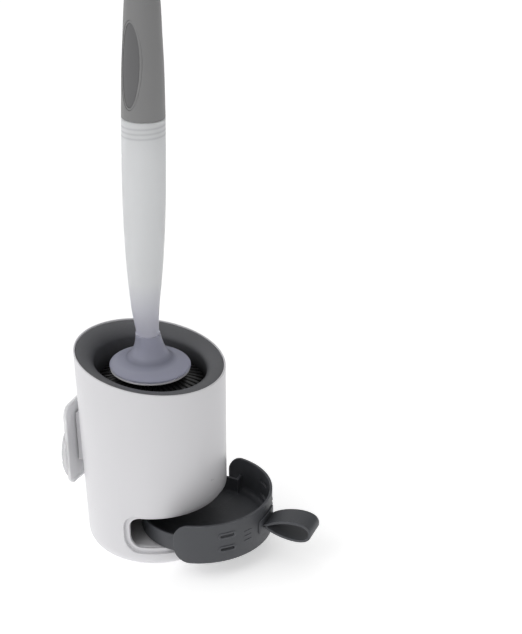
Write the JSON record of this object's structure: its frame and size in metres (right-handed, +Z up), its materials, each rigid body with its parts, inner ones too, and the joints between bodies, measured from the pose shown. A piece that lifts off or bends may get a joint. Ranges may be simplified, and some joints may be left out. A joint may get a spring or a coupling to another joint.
{
  "type": "toilet brush set",
  "caption": "Toilet brush in a round holder with a slanted rim, pull-out drip tray with a strap loop, wall bracket, and a hollow handle that holds cleaner above a splash disc.",
  "frame": {"origin": "on the floor, on the axis of the holder, at the middle of the non-slip pad's underside", "axes": "+Z up along the holder's axis; -Y is the front, where the drip tray pulls out; +Y is the wall side, with the bracket"},
  "size_m": [0.116, 0.2007, 0.4578],
  "materials": {
    "white_plastic": "satin moulded",
    "dark_plastic": "fine matt",
    "grey_plastic": "fine matt",
    "frosted_plastic": "frosted translucent",
    "clear_film": "clear soft film",
    "tank_plastic": "smoky translucent",
    "skirt_plastic": "smoky translucent",
    "soft_grey": "soft touch",
    "black_rubber": "smooth flexible",
    "valve_rubber": "smooth"
  },
  "bodies": {
    "holder": {"holder_shell": "white_plastic", "base_cover": "white_plastic", "non_slip_pad": "black_rubber", "liner_cup": "dark_plastic"},
    "bracket": {"wall_bracket": "frosted_plastic", "adhesive_pad": "clear_film"},
    "tray": {"drip_tray": "dark_plastic", "pull_loop": "soft_grey", "loop_plate": "dark_plastic"},
    "brush": {"tank": "tank_plastic", "skirt": "skirt_plastic", "outlet_valve": "valve_rubber", "head_plate": "white_plastic", "brush_core": "dark_plastic", "bristle_row_1": "black_rubber", "bristle_row_2": "black_rubber", "bristle_row_3": "black_rubber", "bristle_row_4": "black_rubber", "bristle_row_5": "black_rubber", "bristle_row_6": "black_rubber", "bristle_row_7": "black_rubber", "bristle_row_8": "black_rubber", "bristle_row_9": "black_rubber", "head_tip": "dark_plastic"},
    "cap_ring": {"cap_seal": "black_rubber"},
    "grip": {"threaded_spigot": "dark_plastic", "grip_shell": "grey_plastic", "button_bezel": "dark_plastic", "grip_end_cap": "grey_plastic", "squeeze_bulb": "black_rubber", "air_valve": "valve_rubber"},
    "thumb_button": {"thumb_pad": "soft_grey"}
  },
  "joints": [
    {"name": "tray_slide", "type": "slide", "parent": "holder", "child": "tray", "axis": [0, -1, 0], "range_m": [-0.0392, 0.075]},
    {"name": "brush_lift", "type": "slide", "parent": "holder", "child": "brush", "axis": [0, -0.0436, 0.999], "range_m": [0, 0.125]},
    {"name": "cap_rise", "type": "slide", "parent": "brush", "child": "cap_ring", "axis": [0, -0.0436, 0.999], "range_m": [0, 0.0162]},
    {"name": "cap_turn", "type": "hinge", "parent": "cap_ring", "child": "grip", "pos_m": [0, -0.00471, 0.34758], "axis": [0, -0.0436, 0.999], "range_deg": [0, 1620]},
    {"name": "pad_press", "type": "slide", "parent": "grip", "child": "thumb_button", "axis": [0.9659, -0.2586, -0.0113], "range_m": [0, 0.0018], "stiffness_N_per_m": 800},
    {"name": "bracket_slide", "type": "slide", "parent": "holder", "child": "bracket", "axis": [0, 0, -1], "range_m": [0, 0.03]}
  ],
  "couplings": [
    {"joint": "cap_rise", "follows": "cap_turn", "m_per_rad": 0.00057296}
  ]
}
